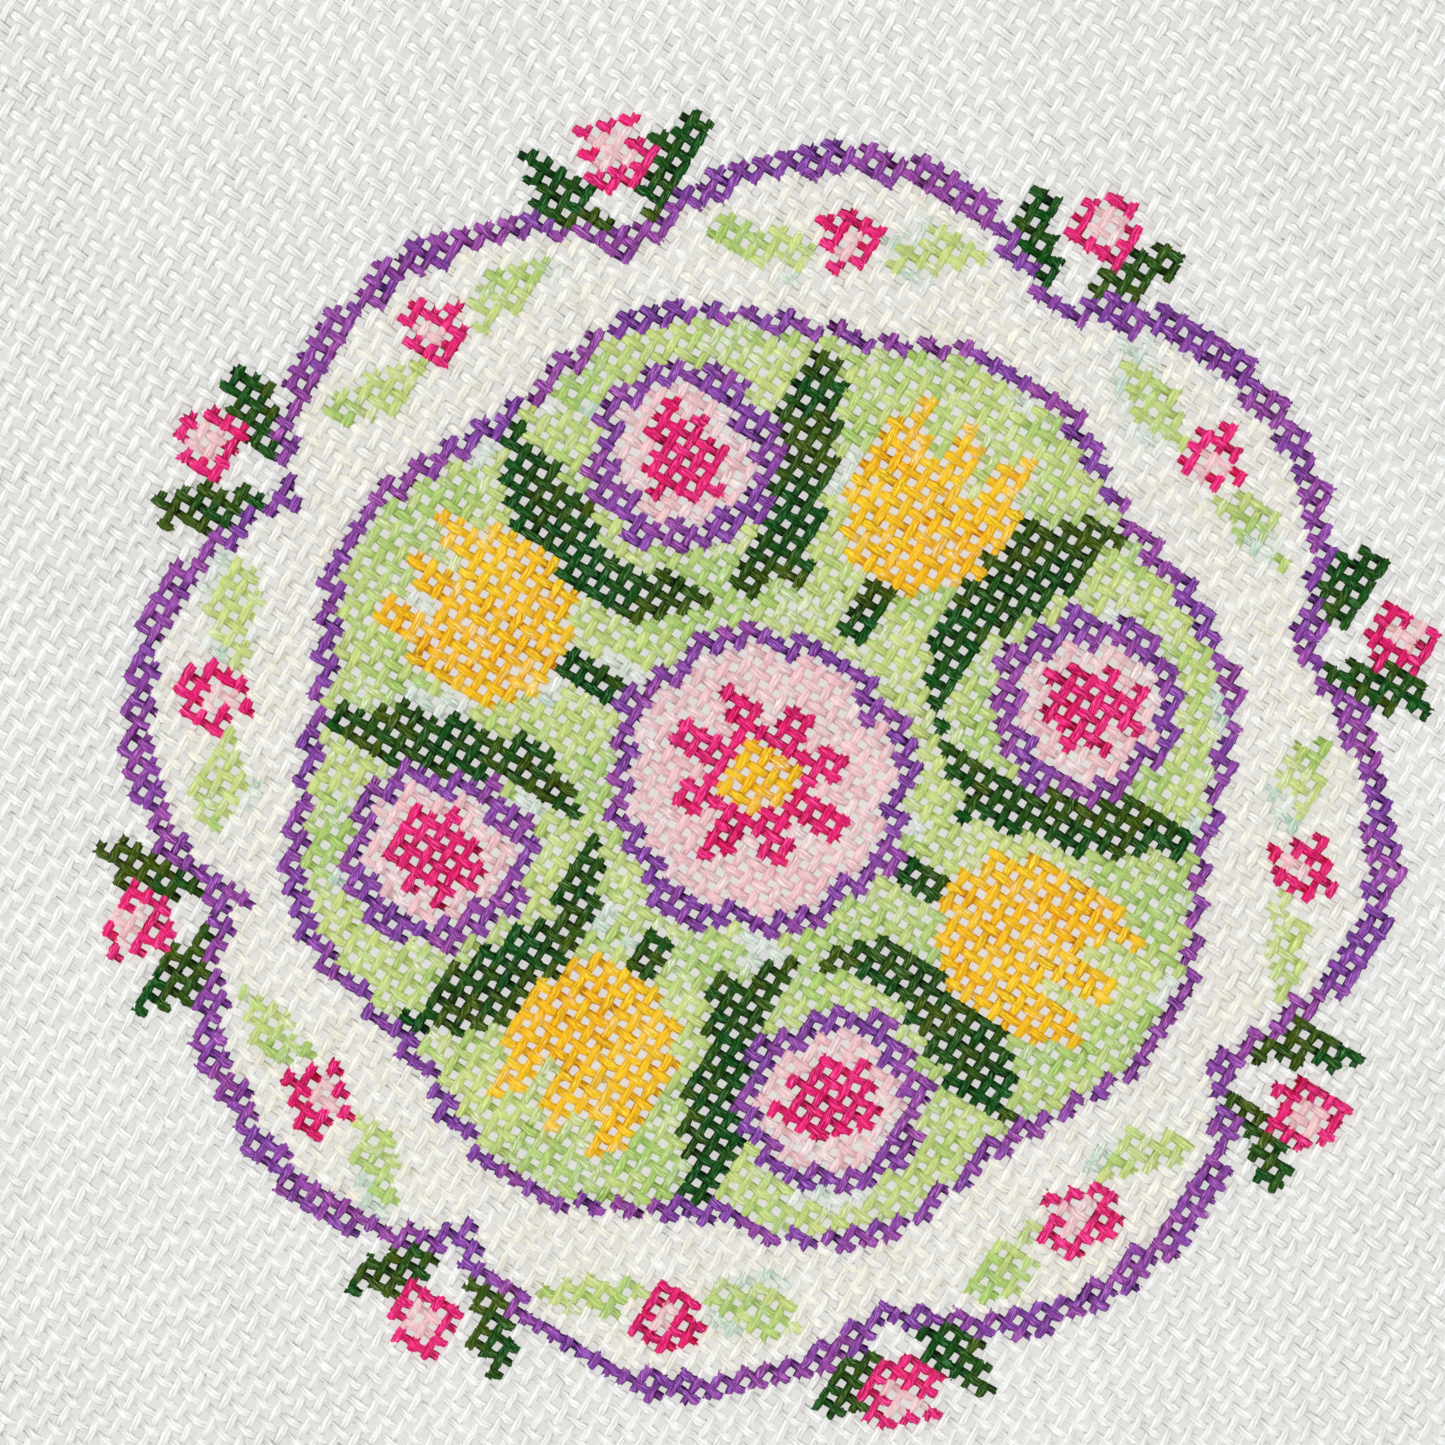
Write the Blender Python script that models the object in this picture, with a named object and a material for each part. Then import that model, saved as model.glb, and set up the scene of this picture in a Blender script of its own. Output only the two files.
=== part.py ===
"""A square of single-thread needlepoint canvas, cut raw on all four sides and lying flat.

The cloth is one sheet. X runs along one set of threads, Y along the other and +Z up, out of the painted face.
The origin is the middle of the underside. The holes of the weave are about a millimetre across, so the sheet is
closed here, and as thick as the weave is from its lowest thread to its highest. The four cut edges follow the
threads beside them, which bow a little, and wander by less than a thread where the shears went.
"""

import math

import bmesh
import bpy

MATERIAL_NAME = "canvas"
NODE_NAME = "canvas_panel"

# The weave sets the size: thirteen holes to the inch, and a hundred and thirty threads each way.
INCH = 0.0254
HOLES_PER_INCH = 13
THREAD_COUNT = 130
PITCH = INCH / HOLES_PER_INCH
SIDE = THREAD_COUNT * PITCH

# Two flattened threads lie on each other at each crossing, and the waves that they weave in add a little.
THREAD_HEIGHT = 0.00064
WAVE_ALLOWANCE = 0.00022
THICKNESS = 2 * THREAD_HEIGHT + WAVE_ALLOWANCE

# How far the threads swing to either side of a straight line, along their whole length.
UPRIGHT_BOW = 0.0007
LEVEL_BOW = 0.0005

# The shears wander by a part of a thread, in a few slow waves along each edge.
CUT_WANDER = 0.0004
CUT_WAVES = 5

# The worn corner of the sheet's rim, and how finely an edge is divided.
RIM_ROUNDING = 0.0003
RIM_STEPS = 2
EDGE_STEPS = 40

CANVAS_COLOUR = (0.80, 0.79, 0.765, 1.0)
CANVAS_ROUGHNESS = 0.85


def clear_scene():
    """Removes whatever the file opened with."""
    for item in list(bpy.data.objects):
        bpy.data.objects.remove(item, do_unlink=True)


def edge_shift(share, bow):
    """The sideways place of an edge at a share of its length, from -0.5 to 0.5, against a straight line.

    Both terms are odd about the middle of the edge and are nothing at its ends, so opposite edges keep the sheet
    centred and neighbouring edges meet at square corners.
    """
    swing = bow * math.sin(2 * math.pi * share)
    wander = CUT_WANDER * math.sin(2 * math.pi * CUT_WAVES * share) * math.cos(math.pi * share)
    return swing + wander


def outline():
    """The corners of the sheet's outline, anticlockwise from above, as pairs of X and Y."""
    half = SIDE / 2
    shares = [step / EDGE_STEPS - 0.5 for step in range(EDGE_STEPS)]
    near = [(SIDE * share, -half + edge_shift(share, LEVEL_BOW)) for share in shares]
    right = [(half + edge_shift(share, UPRIGHT_BOW), SIDE * share) for share in shares]
    far = [(-SIDE * share, half + edge_shift(-share, LEVEL_BOW)) for share in shares]
    left = [(-half + edge_shift(-share, UPRIGHT_BOW), -SIDE * share) for share in shares]
    return near + right + far + left


def sheet_mesh(name):
    """A flat sheet of the cloth's thickness on the outline, standing on Z = 0."""
    shape = bmesh.new()
    corners = [shape.verts.new((x, y, 0.0)) for x, y in outline()]
    underside = shape.faces.new(corners)
    raised = bmesh.ops.extrude_face_region(shape, geom=[underside])
    top = [item for item in raised["geom"] if isinstance(item, bmesh.types.BMVert)]
    bmesh.ops.translate(shape, verts=top, vec=(0.0, 0.0, THICKNESS))
    bmesh.ops.recalc_face_normals(shape, faces=shape.faces)
    mesh = bpy.data.meshes.new(name)
    shape.to_mesh(mesh)
    shape.free()
    return mesh


def canvas_material():
    """The sized cotton of the canvas: off-white and matt."""
    material = bpy.data.materials.new(MATERIAL_NAME)
    material.use_nodes = True
    surface = material.node_tree.nodes["Principled BSDF"]
    surface.inputs["Base Color"].default_value = CANVAS_COLOUR
    surface.inputs["Roughness"].default_value = CANVAS_ROUGHNESS
    surface.inputs["Metallic"].default_value = 0.0
    return material


def soften_rim(sheet):
    """Rounds the sharp corner that the cut leaves along the top and bottom of the rim."""
    rounding = sheet.modifiers.new("rim", "BEVEL")
    rounding.width = RIM_ROUNDING
    rounding.segments = RIM_STEPS
    rounding.limit_method = "ANGLE"
    rounding.angle_limit = math.radians(60)


def build_canvas_panel():
    """The whole panel: one cut piece of cloth."""
    sheet = bpy.data.objects.new(NODE_NAME, sheet_mesh(NODE_NAME))
    bpy.context.scene.collection.objects.link(sheet)
    sheet.data.materials.append(canvas_material())
    soften_rim(sheet)
    return sheet


def main():
    clear_scene()
    build_canvas_panel()


main()
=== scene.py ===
"""The looks of a square of hand-painted needlepoint canvas, lying flat.

Every thread of the plain weave is a twisted thread that passes over and under its neighbours. Geometry Nodes
lay the threads in six bands, three of upright threads (along Y) and three of level ones (along X), and they
also make the loose fibres on the threads and the frayed plies at the cut edges. The design is worked out
crossing by crossing from a few round motifs, and is carried to the threads as colour attributes.
"""

from __future__ import annotations

import logging
import math
from dataclasses import dataclass, replace
from enum import Enum

import bpy
import numpy as np
from mathutils import Matrix, Vector

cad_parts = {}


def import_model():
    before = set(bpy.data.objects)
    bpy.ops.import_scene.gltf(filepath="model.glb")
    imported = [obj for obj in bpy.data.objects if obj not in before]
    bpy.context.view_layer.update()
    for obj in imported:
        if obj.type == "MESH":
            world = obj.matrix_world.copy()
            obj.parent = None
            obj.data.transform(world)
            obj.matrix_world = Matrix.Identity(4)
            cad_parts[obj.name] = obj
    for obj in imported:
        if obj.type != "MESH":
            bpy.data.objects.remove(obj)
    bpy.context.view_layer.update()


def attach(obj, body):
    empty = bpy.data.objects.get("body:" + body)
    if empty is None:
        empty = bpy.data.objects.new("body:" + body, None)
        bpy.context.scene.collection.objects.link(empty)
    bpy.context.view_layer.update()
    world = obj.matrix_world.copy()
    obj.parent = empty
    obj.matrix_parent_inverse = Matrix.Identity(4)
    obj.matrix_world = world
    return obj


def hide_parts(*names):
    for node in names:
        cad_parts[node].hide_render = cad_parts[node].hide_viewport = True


LOG = logging.getLogger("canvas")
PANEL_NODE = "canvas_panel"
ROOT_BODY = "root"

INCH = 0.0254
MILLIMETRE = 0.001
FULL_TURN = 2 * math.pi

# A thread, one of its plies at a cut end and a loose fibre are tubes with this many sides.
THREAD_SIDES = 5
PLY_SIDES = 4
FIBRE_SIDES = 3

# Loose fibres are numbered from 1, and the plies at the cut ends from this number on.
FIRST_PLY = 9000

# Every two crossings of a thread have five sections: three where it goes over and two where it goes under.
SECTIONS_OVER = 3
SECTIONS_OF_TWO = 5

Colour = tuple[float, float, float]


def screen_colour(red: int, green: int, blue: int) -> Colour:
    """Turns a colour as a screen shows it into the linear one that a shader works in.

    Args:
        red: Red from 0 to 255.
        green: Green from 0 to 255.
        blue: Blue from 0 to 255.

    Returns:
        The linear red, green and blue, each from 0 to 1.
    """
    shares = (value / 255 for value in (red, green, blue))
    return tuple(s / 12.92 if s <= 0.04045 else ((s + 0.055) / 1.055) ** 2.4 for s in shares)


class ThreadWay(Enum):
    """Which way a set of threads runs."""

    UPRIGHT = "upright"
    LEVEL = "level"


@dataclass(frozen=True)
class ThreadKind:
    """The sizes of one set of threads, in metres.

    The upright threads are stretched tight in weaving and hardly wave, so the level ones wave the most.

    Args:
        way: Which way the threads run.
        width: The width of one thread.
        height: Its height, which is less because it is flattened.
        wave: How far it rises and falls from its middle height.
        crest: How far it stays up to each side of a crossing that it goes over, as a share of the pitch.
        dip: How far it stays down to each side of a crossing that it goes under, as a share of the pitch.
        bow: How far it swings to either side of a straight line along its length.
        cross_bow: How far the threads that it crosses swing.
        turns: How many plies pass by from one crossing to the next as they twist.
        seed: The seed of its unevenness.
        plies: The number of plies that it is twisted from.
    """

    way: ThreadWay
    width: float
    height: float
    wave: float
    crest: float
    dip: float
    bow: float
    cross_bow: float
    turns: float
    seed: int
    plies: int = 5

    @property
    def turn_about(self) -> float:
        """The turn about Z that brings a thread laid along Y to its place."""
        return 0.0 if self.way is ThreadWay.UPRIGHT else math.pi / 2

    @property
    def hand(self) -> float:
        """The sign that the turn gives to a sideways shift."""
        return 1.0 if self.way is ThreadWay.UPRIGHT else -1.0


@dataclass(frozen=True)
class Weave:
    """The plain weave: its count and its size, in metres where it is a length."""

    holes_per_inch: int = 13
    count: int = 130
    middle: float = 0.75 * MILLIMETRE
    cut_wander: float = 0.4 * MILLIMETRE
    cut_waves: int = 5
    upright_bow: float = 0.7 * MILLIMETRE
    level_bow: float = 0.5 * MILLIMETRE

    @property
    def pitch(self) -> float:
        """From the middle of one thread to the middle of the next."""
        return INCH / self.holes_per_inch

    @property
    def side(self) -> float:
        """The side of the square panel."""
        return self.count * self.pitch

    @property
    def rings(self) -> int:
        """The number of sections along one thread."""
        return self.count * SECTIONS_OF_TWO // 2

    def upright(self) -> ThreadKind:
        """The tight threads that run along Y."""
        return ThreadKind(
            way=ThreadWay.UPRIGHT,
            width=0.97 * MILLIMETRE,
            height=0.74 * MILLIMETRE,
            wave=0.19 * MILLIMETRE,
            crest=0.35,
            dip=0.22,
            bow=self.upright_bow,
            cross_bow=self.level_bow,
            turns=0.34,
            seed=11,
        )

    def level(self) -> ThreadKind:
        """The waving threads that run along X."""
        return ThreadKind(
            way=ThreadWay.LEVEL,
            width=1.03 * MILLIMETRE,
            height=0.62 * MILLIMETRE,
            wave=0.45 * MILLIMETRE,
            crest=0.14,
            dip=0.28,
            bow=self.level_bow,
            cross_bow=self.upright_bow,
            turns=-0.38,
            seed=23,
        )


class Signal:
    """The output of a node, on which sums are written with plain signs."""

    def __init__(self, bench: NodeBench, socket: bpy.types.NodeSocket) -> None:
        """Wraps a socket.

        Args:
            bench: The bench of the socket's tree.
            socket: The socket.
        """
        self.bench = bench
        self.socket = socket

    def __add__(self, other: Term) -> Signal:
        """The sum of the two."""
        return self.bench.math("ADD", self, other)

    def __sub__(self, other: Term) -> Signal:
        """What is left of this one."""
        return self.bench.math("SUBTRACT", self, other)

    def __rsub__(self, other: Term) -> Signal:
        """What this one leaves of the other."""
        return self.bench.math("SUBTRACT", other, self)

    def __mul__(self, other: Term) -> Signal:
        """The product of the two."""
        return self.bench.math("MULTIPLY", self, other)

    def __truediv__(self, other: Term) -> Signal:
        """This one divided by the other."""
        return self.bench.math("DIVIDE", self, other)

    __radd__ = __add__
    __rmul__ = __mul__


Term = Signal | float


class NodeBench:
    """Places nodes in one tree and joins their sockets, for shaders and geometry alike."""

    MIX_INPUTS = (6, 7)
    MIX_OUTPUT = 2

    def __init__(self, tree: bpy.types.NodeTree) -> None:
        """Starts on a tree.

        Args:
            tree: The tree that gets the nodes.
        """
        self.tree = tree

    def place(
        self, kind: str, inputs: dict | None = None, output: int | str = 0, **settings: object
    ) -> Signal:
        """Places one node and feeds it.

        Args:
            kind: The node's type name.
            inputs: A signal or plain value for each input, by the input's name or number.
            output: The output that is wanted, by name or number.
            **settings: Properties to set on the node first.

        Returns:
            The output.
        """
        node = self.tree.nodes.new(kind)
        for name, value in settings.items():
            setattr(node, name, value)
        for name, value in (inputs or {}).items():
            self.feed(node.inputs[name], value)
        return Signal(self, node.outputs[output])

    def feed(self, target: bpy.types.NodeSocket, value: object) -> None:
        """Joins a signal to an input, or sets the input to a plain value."""
        if isinstance(value, Signal):
            self.tree.links.new(value.socket, target)
        else:
            target.default_value = value

    def given(self) -> dict[str, Signal]:
        """The tree's own inputs, by name."""
        node = self.tree.nodes.new("NodeGroupInput")
        return {socket.name: Signal(self, socket) for socket in node.outputs if socket.name}

    def give(self, results: dict[str, Signal]) -> None:
        """Feeds the tree's own outputs.

        Args:
            results: A signal for each output, by name.
        """
        node = self.tree.nodes.new("NodeGroupOutput")
        for name, value in results.items():
            self.feed(node.inputs[name], value)

    def group(self, tree: bpy.types.NodeTree, inputs: dict[str, object]) -> dict[str, Signal]:
        """Places a node group.

        Args:
            tree: The group.
            inputs: A signal or plain value for each input, by name.

        Returns:
            Its outputs, by name.
        """
        node = self.place("ShaderNodeGroup", inputs, node_tree=tree).socket.node
        return {socket.name: Signal(self, socket) for socket in node.outputs}

    def math(self, operation: str, *terms: Term) -> Signal:
        """Works out one sum on numbers.

        Args:
            operation: The Math node's operation, such as "ADD".
            *terms: Up to three signals or numbers.

        Returns:
            The result.
        """
        return self.place("ShaderNodeMath", dict(enumerate(terms)), operation=operation)

    def vector(self, x: Term, y: Term, z: Term) -> Signal:
        """Puts three numbers together as a vector."""
        return self.place("ShaderNodeCombineXYZ", {0: x, 1: y, 2: z})

    def parts(self, vector: Signal) -> tuple[Signal, Signal, Signal]:
        """The three numbers of a vector."""
        node = self.place("ShaderNodeSeparateXYZ", {0: vector}).socket.node
        return tuple(Signal(self, socket) for socket in node.outputs)

    def noise(self, place: Signal, scale: float, detail: float, roughness: float = 0.5) -> Signal:
        """A cloudy value of about 0.5 on the whole, fixed for each place.

        Args:
            place: The vector that the noise is read at.
            scale: How fine it is.
            detail: How many finer layers it has.
            roughness: How strong those layers are.

        Returns:
            The value.
        """
        inputs = {"Vector": place, "Scale": scale, "Detail": detail, "Roughness": roughness}
        return self.place("ShaderNodeTexNoise", inputs)

    def random(self, low: object, high: object, seed: Signal, element: Signal | None = None) -> Signal:
        """A fixed random value for each element.

        Args:
            low: The lowest value, a number or a vector.
            high: The highest value, of the same kind.
            seed: The seed.
            element: The number of the element, where it isn't its own index.

        Returns:
            The value.
        """
        is_vector = isinstance(low, tuple)
        first = 0 if is_vector else 2
        inputs = {first: low, first + 1: high, "Seed": seed}
        if element is not None:
            inputs["ID"] = element
        kind = "FLOAT_VECTOR" if is_vector else "FLOAT"
        return self.place("FunctionNodeRandomValue", inputs, 0 if is_vector else 1, data_type=kind)

    def band(self, value: Term, low: Term, high: Term) -> Signal:
        """A smooth step from 0 at low to 1 at high."""
        inputs = {"Value": value, "From Min": low, "From Max": high}
        return self.place("ShaderNodeMapRange", inputs, interpolation_type="SMOOTHSTEP")

    def blend(
        self, share: Term, first: Signal | Colour, second: Signal | Colour, kind: str = "MIX"
    ) -> Signal:
        """Mixes two colours.

        Args:
            share: How much of the second colour, from 0 to 1.
            first: The first colour.
            second: The second colour.
            kind: The mixing mode.

        Returns:
            The mixed colour.
        """
        inputs = {"Factor": share}
        for number, colour in zip(self.MIX_INPUTS, (first, second)):
            inputs[number] = colour if isinstance(colour, Signal) else (*colour, 1.0)
        return self.place("ShaderNodeMix", inputs, self.MIX_OUTPUT, data_type="RGBA", blend_type=kind)

    def grey(self, value: Term) -> Signal:
        """A grey colour of that brightness."""
        return self.place("ShaderNodeCombineColor", {0: value, 1: value, 2: value})

    def attribute(self, name: str, output: str = "Fac") -> Signal:
        """One of the mesh's own attributes, in a shader."""
        return self.place("ShaderNodeAttribute", None, output, attribute_type="GEOMETRY", attribute_name=name)

    def stored(self, geometry: Signal, name: str, value: Term, kind: str, domain: str) -> Signal:
        """Stores one value on the geometry under that name.

        Args:
            geometry: The geometry.
            name: The attribute's name.
            value: Its value.
            kind: Its data type.
            domain: What it is stored on.

        Returns:
            The geometry with the attribute.
        """
        inputs = {"Geometry": geometry, "Name": name, "Value": value}
        return self.place("GeometryNodeStoreNamedAttribute", inputs, data_type=kind, domain=domain)

    def marked(self, geometry: Signal, marks: dict[str, Term]) -> Signal:
        """Stores numbers on the points under the names given."""
        for name, value in marks.items():
            geometry = self.stored(geometry, name, value, "FLOAT", "POINT")
        return geometry


def new_group(name: str, kind: str, inputs: dict[str, str], outputs: dict[str, str]) -> bpy.types.NodeTree:
    """Makes an empty node group with named inputs and outputs.

    Args:
        name: The group's name.
        kind: "GeometryNodeTree" or "ShaderNodeTree".
        inputs: The last word of the socket type of each input, such as "Float", by name.
        outputs: The same for each output.

    Returns:
        The group.
    """
    tree = bpy.data.node_groups.new(name, kind)
    for direction, sockets in (("INPUT", inputs), ("OUTPUT", outputs)):
        for title, socket_kind in sockets.items():
            tree.interface.new_socket(name=title, in_out=direction, socket_type=f"NodeSocket{socket_kind}")
    return tree


def grown_mesh(name: str, tree: bpy.types.NodeTree, inputs: dict[str, object]) -> bpy.types.Mesh:
    """Runs a Geometry Nodes tree and keeps its result as a plain mesh.

    Args:
        name: The name that the mesh gets.
        tree: The tree, which ends in Realize Instances and Set Material.
        inputs: A value for each of the tree's named inputs.

    Returns:
        The mesh, with no modifier left behind.
    """
    carrier = bpy.data.objects.new(f"{name}_carrier", bpy.data.meshes.new(f"{name}_carrier"))
    bpy.context.scene.collection.objects.link(carrier)
    growth = carrier.modifiers.new("growth", "NODES")
    growth.node_group = tree
    for socket in tree.interface.items_tree:
        if socket.item_type == "SOCKET" and socket.in_out == "INPUT":
            growth[socket.identifier] = inputs[socket.name]
    carrier.update_tag()
    graph = bpy.context.evaluated_depsgraph_get()
    grown = carrier.evaluated_get(graph)
    mesh = bpy.data.meshes.new_from_object(grown, preserve_all_data_layers=True, depsgraph=graph)
    mesh.name = name
    empty = carrier.data
    carrier.modifiers.remove(growth)
    bpy.data.objects.remove(carrier, do_unlink=True)
    bpy.data.meshes.remove(empty)
    return mesh


def numbers_of(mesh: bpy.types.Mesh, name: str) -> np.ndarray:
    """One number for each point, from a mesh's attribute."""
    data = mesh.attributes[name].data
    found = np.zeros(len(data), np.float32)
    data.foreach_get("value", found)
    return found


def whole_numbers_of(mesh: bpy.types.Mesh, name: str) -> np.ndarray:
    """One whole number for each point, from a mesh's attribute."""
    return np.rint(numbers_of(mesh, name)).astype(np.int64)


def places_of(mesh: bpy.types.Mesh) -> np.ndarray:
    """The place of each point of a mesh, one row for each."""
    places = np.zeros(len(mesh.vertices) * 3, np.float32)
    mesh.vertices.foreach_get("co", places)
    return places.reshape(-1, 3)


@dataclass(frozen=True)
class ThreadTree:
    """The Geometry Nodes tree that lays a band of side-by-side woven threads along Y and turns it into place.

    Args:
        wander: How far a thread strays sideways.
        jog: How much of that changes from one section to the next.
        lift: How much a wave's height varies, as a share of it.
        crown: How much higher the very top of a wave is, as a share of it.
        end_wave: How much of its wave a thread keeps at its cut end.
        fullness: How much the section's size varies, as a share of it.
        roughness: How far each point of a thread is shifted.
        roughness_scale: How fine those shifts are.
        cut: How much longer a thread is cut than the edge's line, the least and the most.
        fibre_length: The length of a loose fibre, the least and the most.
        fibre_radius: The radius of a loose fibre.
        fibre_bend: How far its tip bends over, as a share of its length.
        fibre_lean: How far it leans from standing straight off, the least and the most, in radians.
        fibres: The number of loose fibres on a square metre of thread.
        ply_reach: Where a ply at a cut end starts and stops, from the cut outwards.
        ply_radius: The radius of a ply.
        ply_place: How far from the thread's middle the plies are.
        splay: How much the plies spread.
        tuft_lean: How far the plies of an end lean together, at the most, in radians.
        tuft_size: The size of the plies of an end, the least and the most, against the sizes above.
    """

    wander: float = 0.13 * MILLIMETRE
    jog: float = 0.9
    lift: float = 0.16
    crown: float = 0.12
    end_wave: float = 0.55
    fullness: float = 0.5
    roughness: float = 0.19 * MILLIMETRE
    roughness_scale: float = 2600.0
    cut: tuple[float, float] = (-0.35 * MILLIMETRE, 0.65 * MILLIMETRE)
    fibre_length: tuple[float, float] = (0.22 * MILLIMETRE, 0.95 * MILLIMETRE)
    fibre_radius: float = 0.034 * MILLIMETRE
    fibre_bend: float = 0.4
    fibre_lean: tuple[float, float] = (0.85, 1.75)
    fibres: float = 36000.0
    ply_reach: tuple[float, float] = (-0.5 * MILLIMETRE, 1.0 * MILLIMETRE)
    ply_radius: float = 0.15 * MILLIMETRE
    ply_place: float = 0.17 * MILLIMETRE
    splay: float = 1.5
    tuft_lean: float = 0.2
    tuft_size: tuple[float, float] = (0.7, 1.35)

    # A chance value is read at a place that moves by these for each crossing or section, and for each thread.
    WANDER_STEPS = (0.11, 7.31)
    JOG_STEPS = (3.17, 5.53)
    LIFT_STEPS = (2.29, 4.87)
    FULLNESS_STEPS = (0.37, 9.13)

    def build(self) -> bpy.types.NodeTree:
        """Makes the tree.

        Returns:
            The tree, with its sizes as named inputs.
        """
        whole = ("Threads", "First thread", "Crossings", "Seed")
        sizes = ("Pitch", "Width", "Height", "Wave", "Crest", "Dip", "Middle", "Bow", "End bow", "Cut wander",
                 "Cut waves", "Turn")
        kinds = dict.fromkeys(whole, "Int") | dict.fromkeys(sizes, "Float") | {"Material": "Material"}
        tree = new_group("woven threads", "GeometryNodeTree", kinds, {"Geometry": "Geometry"})
        bench = NodeBench(tree)
        given = bench.given()
        numbers = self._numbers(bench, given)
        woven = self._woven_lines(bench, given, numbers)
        threads = bench.place("GeometryNodeCurveToMesh", {
            "Curve": bench.marked(woven, {name: numbers[name] for name in ("thread", "ring", "along")}),
            "Profile Curve": self._section(bench, given),
            "Scale": self._fullness(bench, given, numbers),
            "Fill Caps": True,
        })
        whole_band = bench.tree.nodes.new("GeometryNodeJoinGeometry")
        for part in (
            self._roughened(bench, threads),
            self._loose_fibres(bench, given, threads),
            self._frayed_ends(bench, given, threads),
        ):
            bench.feed(whole_band.inputs["Geometry"], part)
        joined = Signal(bench, whole_band.outputs["Geometry"])
        smooth = bench.place("GeometryNodeSetShadeSmooth", {"Geometry": joined})
        turn = bench.vector(0.0, 0.0, given["Turn"])
        turned = bench.place("GeometryNodeTransform", {"Geometry": smooth, "Rotation": turn})
        realized = bench.place("GeometryNodeRealizeInstances", {"Geometry": turned})
        inputs = {"Geometry": realized, "Material": given["Material"]}
        bench.give({"Geometry": bench.place("GeometryNodeSetMaterial", inputs)})
        return tree

    @staticmethod
    def _straight_lines(bench: NodeBench, given: dict[str, Signal]) -> Signal:
        """One straight line for each thread, with five points to two crossings."""
        line = bench.place("GeometryNodeCurvePrimitiveLine")
        count = given["Crossings"] * (SECTIONS_OF_TWO / 2)
        resampled = bench.place("GeometryNodeResampleCurve", {"Curve": line, "Count": count})
        row = bench.place("GeometryNodeMeshLine", {"Count": given["Threads"]})
        copies = bench.place("GeometryNodeInstanceOnPoints", {"Points": row, "Instance": resampled})
        return bench.place("GeometryNodeRealizeInstances", {"Geometry": copies})

    @staticmethod
    def _numbers(bench: NodeBench, given: dict[str, Signal]) -> dict[str, Signal]:
        """For each point: its thread, its section and crossing along it, and how it lies there.

        over is 1 on a crest and -1 in a dip, and middle is 1 at the top of a crest.
        """
        index = bench.place("GeometryNodeInputIndex")
        rings = given["Crossings"] * (SECTIONS_OF_TWO / 2)
        own = bench.math("FLOOR", (index + 0.5) / rings)
        thread = own + given["First thread"]
        ring = index - own * rings
        pair = bench.math("FLOOR", (ring + 0.5) / SECTIONS_OF_TWO)
        odd = bench.math("MODULO", thread, 2.0)
        step = ring - pair * SECTIONS_OF_TWO + odd * SECTIONS_OVER
        step = bench.math("MODULO", step, SECTIONS_OF_TWO)
        crest = bench.math("LESS_THAN", step, SECTIONS_OVER - 0.5)
        dip = 1.0 - crest
        crossing = pair * 2.0 + bench.math("ABSOLUTE", crest + odd - 1.0)
        on_crest = (step - 1.0) * given["Crest"] * crest
        in_dip = (step * 2.0 - 7.0) * given["Dip"] * dip
        return {
            "thread": thread,
            "ring": ring,
            "over": crest - dip,
            "middle": bench.math("COMPARE", step, 1.0, 0.25),
            "along": crossing + 0.5 + on_crest + in_dip,
            "first": bench.math("LESS_THAN", ring, 0.5),
            "last": bench.math("GREATER_THAN", ring, rings - 1.5),
        }

    @staticmethod
    def _chance(
        bench: NodeBench, given: dict[str, Signal], place: Signal, thread: Signal, steps: tuple, detail: float
    ) -> Signal:
        """A value about nought that changes smoothly along a thread and is another one for each thread."""
        where = bench.vector(place * steps[0], thread * steps[1], given["Seed"])
        return bench.noise(where, 1.0, detail) - 0.5

    def _woven_lines(self, bench: NodeBench, given: dict[str, Signal], numbers: dict[str, Signal]) -> Signal:
        """Moves the points of the straight lines to where the woven thread runs."""
        half_count = given["Crossings"] * 0.5
        side = given["Crossings"] * given["Pitch"]
        along = (numbers["along"] - half_count) * given["Pitch"]
        across = (numbers["thread"] + 0.5 - half_count) * given["Pitch"]
        swing = bench.math("SINE", along / side * FULL_TURN) * given["Bow"]
        thread = numbers["thread"]
        wander = self._chance(bench, given, numbers["along"], thread, self.WANDER_STEPS, 2.0)
        jog = self._chance(bench, given, numbers["ring"], thread, self.JOG_STEPS, 0.0)
        sideways = across + swing + (wander + jog * self.jog) * self.wander
        inner = 1.0 - (numbers["first"] + numbers["last"])
        lengthways = along * inner + self._cut_ends(bench, given, numbers, across, side)
        lift = self._chance(bench, given, numbers["along"], thread, self.LIFT_STEPS, 0.0) * self.lift
        share = lift + (0.98 - self.crown) + numbers["middle"] * self.crown
        rise = numbers["over"] * given["Wave"] * share
        height = given["Middle"] + rise * (inner * (1.0 - self.end_wave) + self.end_wave)
        position = bench.vector(sideways, lengthways, height)
        lines = self._straight_lines(bench, given)
        moved = bench.place("GeometryNodeSetPosition", {"Geometry": lines, "Position": position})
        return bench.place("GeometryNodeSetCurveNormal", {"Curve": moved}, mode="Z_UP")

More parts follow.
